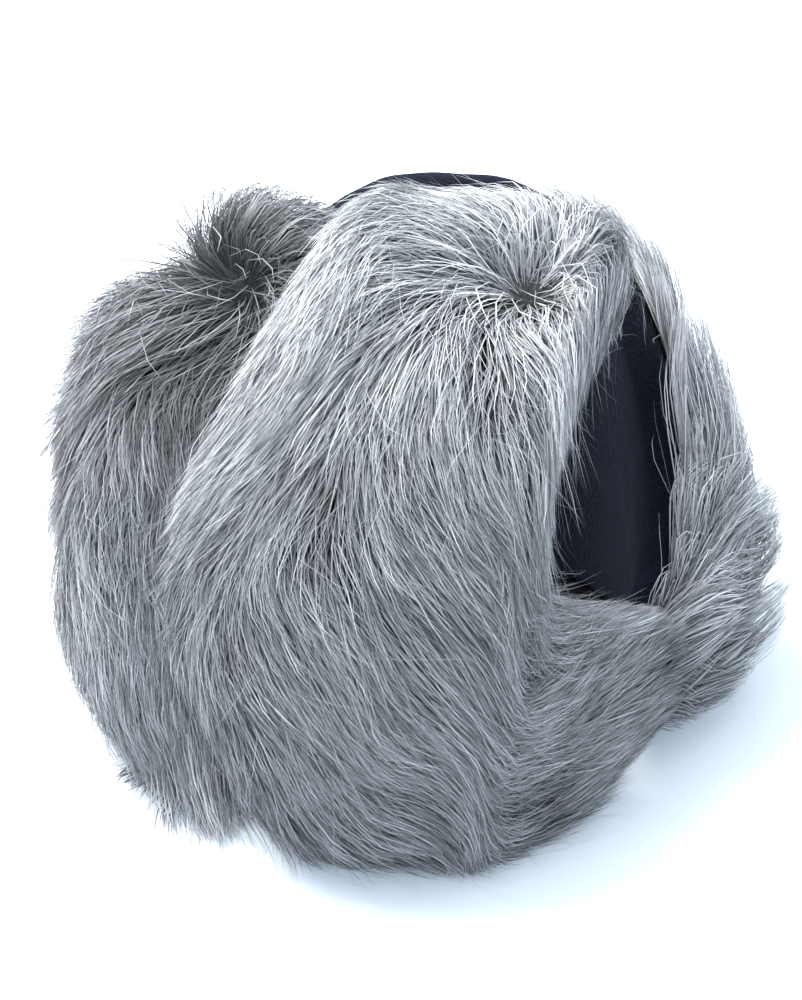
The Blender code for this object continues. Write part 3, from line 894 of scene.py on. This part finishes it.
def pad_loops(lobe, turn):
    """The pad's outlines: crowned face, rolled top, back and rolled foot."""
    row = lobe.sections(turn)
    half = PAD_THICKNESS / 2
    face = row["tall"] - 2 * half
    level = np.ones_like(turn)
    line = []
    for share in np.linspace(0, 1, FACE_STEPS):
        line.append((half + face * share, -PAD_CROWN * math.sin(math.pi * share)))
    for angle in np.linspace(0, math.pi, TOP_STEPS)[1:-1]:
        line.append((half + face + half * math.sin(angle), half - half * math.cos(angle)))
    for share in np.linspace(1, 0, BACK_STEPS):
        line.append((half + face * share, 2 * half))
    for angle in np.linspace(0, math.pi, FOOT_STEPS)[1:-1]:
        line.append((half - half * math.sin(angle), half + half * math.cos(angle)))
    return np.stack([lobe.point(row, up * level, out * level) for up, out in line], 1)


def make_lining(lobe, shift, material, rng):
    """The padded fleece, with the soft waves of stuffed cloth."""
    turn = np.linspace(0.0, 1.0, PAD_SECTIONS)
    loops = pad_loops(lobe, turn) + shift
    size = np.sqrt(np.maximum(lobe.rounding(turn, PAD_ROUND_FROM), LEAST_ROUND))[:, None, None]
    middle = loops.mean(1, keepdims=True)
    loops = middle + (loops - middle) * size
    outwards = unit(loops - middle)
    waves = np.zeros(loops.shape[:2])
    for _ in range(WAVES):
        along = rng.uniform(*WAVES_PER_METRE) * rng.choice((-1, 1), 3)
        waves += np.sin(loops @ along + rng.uniform(0, math.tau)) * WAVE_HEIGHT
    loops = loops + outwards * waves[..., None]
    loops[..., 2] = np.maximum(loops[..., 2], FLOOR_CLEAR)
    return make_tube(lobe.name + "_fleece", loops, material)


def moved_by(lobe):
    """How far the solids were moved to centre them: a pad's box as built, against its own sizes."""
    corners = pad_loops(lobe, np.linspace(0.0, 1.0, MOVE_SECTIONS)).reshape(-1, 3)
    low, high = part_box(lobe.name + "_lining")
    built = (np.array(low) + np.array(high)) / 2
    plain = (corners.min(0) + corners.max(0)) / 2
    return np.append((built - plain)[:2], 0.0)


def set_inputs(node, values):
    """The node with its sockets set by name, a colour from its red, green and blue."""
    for name, value in values.items():
        node.inputs[name].default_value = (*value, 1.0) if isinstance(value, tuple) else value
    return node


def new_material(name, values):
    """A material with its shader set, its node tree and its shader."""
    material = bpy.data.materials.new(name)
    material.use_nodes = True
    shader = set_inputs(material.node_tree.nodes["Principled BSDF"], values)
    return material, material.node_tree, shader


def blend_colours(tree, first, second, factor, target):
    """The first colour turning into the second as the factor goes from 0 to 1, put into a socket."""
    blend = tree.nodes.new("ShaderNodeMix")
    blend.data_type = "RGBA"
    set_inputs(blend, {"A": first, "B": second})
    tree.links.new(factor, blend.inputs["Factor"])
    tree.links.new(blend.outputs["Result"], target)


def fur_material():
    """Smooth fibre, in the colours that each hair's points carry."""
    material, tree, shader = new_material("fur", {"Roughness": 0.42, "Specular IOR Level": 0.5})
    tone = tree.nodes.new("ShaderNodeVertexColor")
    tone.layer_name = "tone"
    tree.links.new(tone.outputs["Color"], shader.inputs["Base Color"])
    return material


def fleece_material():
    """Black fleece with a blue cast: small pills that stand up and catch a little more light."""
    finish = {"Roughness": 0.95, "Specular IOR Level": 0.2}
    sheen = {"Sheen Weight": 0.12, "Sheen Roughness": 0.5, "Sheen Tint": SHEEN_COLOUR}
    material, tree, shader = new_material("fleece", finish | sheen)
    place = tree.nodes.new("ShaderNodeNewGeometry")
    pills = set_inputs(
        tree.nodes.new("ShaderNodeTexNoise"), {"Scale": 1100.0, "Detail": 5.0, "Roughness": 0.65}
    )
    tree.links.new(place.outputs["Position"], pills.inputs["Vector"])
    bump = set_inputs(tree.nodes.new("ShaderNodeBump"), {"Strength": 0.6, "Distance": 0.0012})
    tree.links.new(pills.outputs["Fac"], bump.inputs["Height"])
    tree.links.new(bump.outputs["Normal"], shader.inputs["Normal"])
    mottle = set_inputs(tree.nodes.new("ShaderNodeMapRange"), {"From Min": 0.40, "From Max": 0.68})
    tree.links.new(pills.outputs["Fac"], mottle.inputs["Value"])
    target = shader.inputs["Base Color"]
    blend_colours(tree, FLEECE_COLOUR, FLEECE_LIGHT_COLOUR, mottle.outputs["Result"], target)
    return material


def undercoat_material():
    """Dark, dull short fur."""
    return new_material("undercoat", {"Base Color": UNDERCOAT_COLOUR, "Roughness": 0.9})[0]


def floor_material():
    """White, with a faint cool glow that only the camera sees and less bounce than it shows."""
    material, tree, shader = new_material("floor", {"Roughness": 0.9, "Emission Color": GLOW_COLOUR})
    seen = tree.nodes.new("ShaderNodeLightPath").outputs["Is Camera Ray"]
    blend_colours(tree, BOUNCE_COLOUR, FLOOR_COLOUR, seen, shader.inputs["Base Color"])
    tree.links.new(seen, shader.inputs["Emission Strength"])
    return material


def make_world():
    """A cool sky, bright overhead and dim towards the floor."""
    world = bpy.data.worlds.new("studio")
    world.use_nodes = True
    tree = world.node_tree
    sky = set_inputs(tree.nodes["Background"], {"Color": SKY_COLOUR})
    place = tree.nodes.new("ShaderNodeTexCoord")
    parts = tree.nodes.new("ShaderNodeSeparateXYZ")
    grade = tree.nodes.new("ShaderNodeMapRange")
    set_inputs(grade, {"To Min": SKY_STRENGTH[0], "To Max": SKY_STRENGTH[1]})
    tree.links.new(place.outputs["Generated"], parts.inputs["Vector"])
    tree.links.new(parts.outputs["Z"], grade.inputs["Value"])
    tree.links.new(grade.outputs["Result"], sky.inputs["Strength"])
    return world


def add_item(name, data, place, aim):
    """A light or camera at a place, turned to face along the aim."""
    item = bpy.data.objects.new(name, data)
    item.location = place
    item.rotation_euler = aim.to_track_quat("-Z", "Y").to_euler()
    bpy.context.scene.collection.objects.link(item)
    return item


def make_stage():
    """The white floor, the sky and one large soft lamp from the upper left."""
    bpy.ops.mesh.primitive_plane_add(size=FLOOR_SIZE)
    floor = bpy.context.object
    floor.name = "floor"
    floor.data.materials.append(floor_material())
    bpy.context.scene.world = make_world()
    lamp = bpy.data.lights.new("key", "AREA")
    lamp.shape = "DISK"
    lamp.size = KEY_SIZE
    lamp.energy = KEY_POWER
    lamp.color = KEY_COLOUR
    add_item("key", lamp, KEY_PLACE, Vector((0.0, 0.0, AIM_HEIGHT)) - Vector(KEY_PLACE))


def make_camera(shift):
    """The photograph's view: from the right of the open side and from above."""
    turn = math.radians(CAMERA_TURN)
    rise = math.radians(CAMERA_RISE)
    level = Vector((math.sin(turn), -math.cos(turn), 0.0)) * math.cos(rise)
    back = level + Vector((0.0, 0.0, math.sin(rise)))
    right = Vector((math.cos(turn), math.sin(turn), 0.0))
    target = right * CAMERA_SIDE + Vector((0.0, 0.0, AIM_HEIGHT)) + Vector(shift)
    data = bpy.data.cameras.new("camera")
    data.sensor_fit = "VERTICAL"
    data.sensor_height = SENSOR_HEIGHT
    data.lens = CAMERA_LENS
    data.clip_start = NEAREST_SEEN
    bpy.context.scene.camera = add_item("camera", data, target + back * CAMERA_DISTANCE, -back)


def make_lobe(lobe, shift, fur, undercoat, fleece):
    """One lobe's padded fleece, its undercoat and its hair."""
    rng = np.random.default_rng(SEED + len(lobe.name))
    skin = Skin(lobe, shift)
    pad = make_lining(lobe, shift, fleece, rng)
    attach(pad, "root")
    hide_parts(lobe.name + "_lining")
    coat = make_undercoat(skin, undercoat)
    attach(coat, "root")
    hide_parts(lobe.name + "_fur")
    hairs = lobe.hairs
    for part in range(PIECES_PER_LOBE):
        hair = grow(skin, hairs // PIECES_PER_LOBE, rng)
        piece = make_hair(f"{lobe.name}_hair_{part + 1}", hair, fur, rng)
        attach(piece, "root")


def main():
    """The soft pieces on the solids' frame, then the studio and the camera."""
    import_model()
    lobes = [Lobe(*row) for row in LOBES]
    fur = fur_material()
    undercoat = undercoat_material()
    fleece = fleece_material()
    shift = moved_by(lobes[-1])
    for lobe in lobes:
        make_lobe(lobe, shift, fur, undercoat, fleece)
    make_stage()
    make_camera(shift)
    scene = bpy.context.scene
    scene.view_settings.view_transform = "Standard"
    scene.cycles.max_bounces = 2
    scene.cycles.diffuse_bounces = 1
    scene.cycles.glossy_bounces = 1


main()
